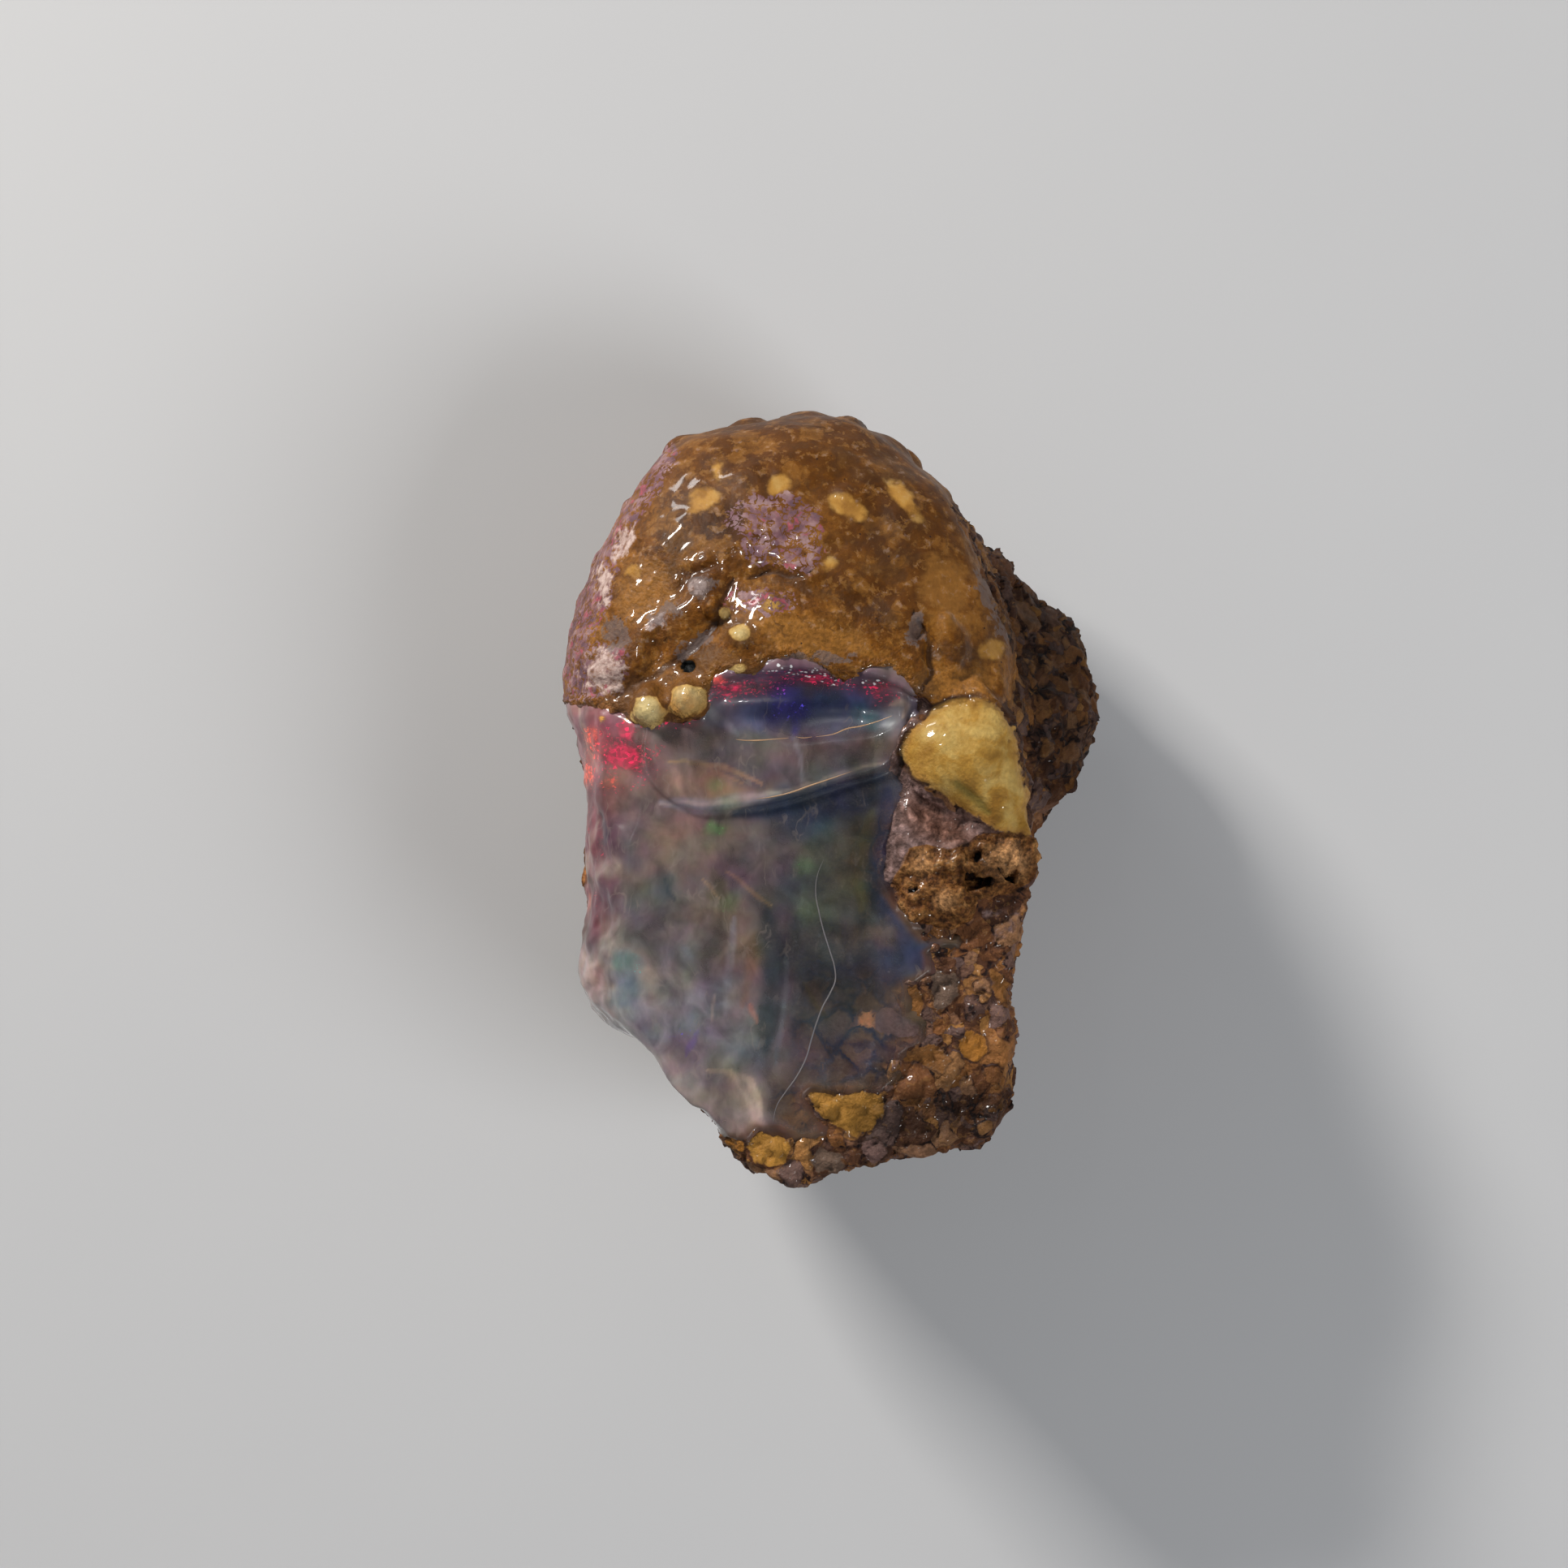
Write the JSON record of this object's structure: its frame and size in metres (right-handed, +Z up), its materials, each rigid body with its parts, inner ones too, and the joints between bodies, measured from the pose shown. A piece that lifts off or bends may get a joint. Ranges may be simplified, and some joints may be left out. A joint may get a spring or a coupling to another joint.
{
  "type": "rough opal in host rock",
  "caption": "Rough precious opal still in its brown host rock, with a ground window, a clay-crusted dome and a flat broken face to rest on.",
  "frame": {"origin": "on the flat broken face that the stone rests on, at the rest mount", "axes": "+Z up out of the ground window, +Y along the stone towards its domed end, +X to the right as one looks down on the window"},
  "size_m": [0.0471, 0.0673, 0.0326],
  "materials": {
    "host_rock": "satin",
    "opal": "polished"
  },
  "bodies": {
    "root": {"opal_stone": "host_rock"}
  },
  "joints": []
}
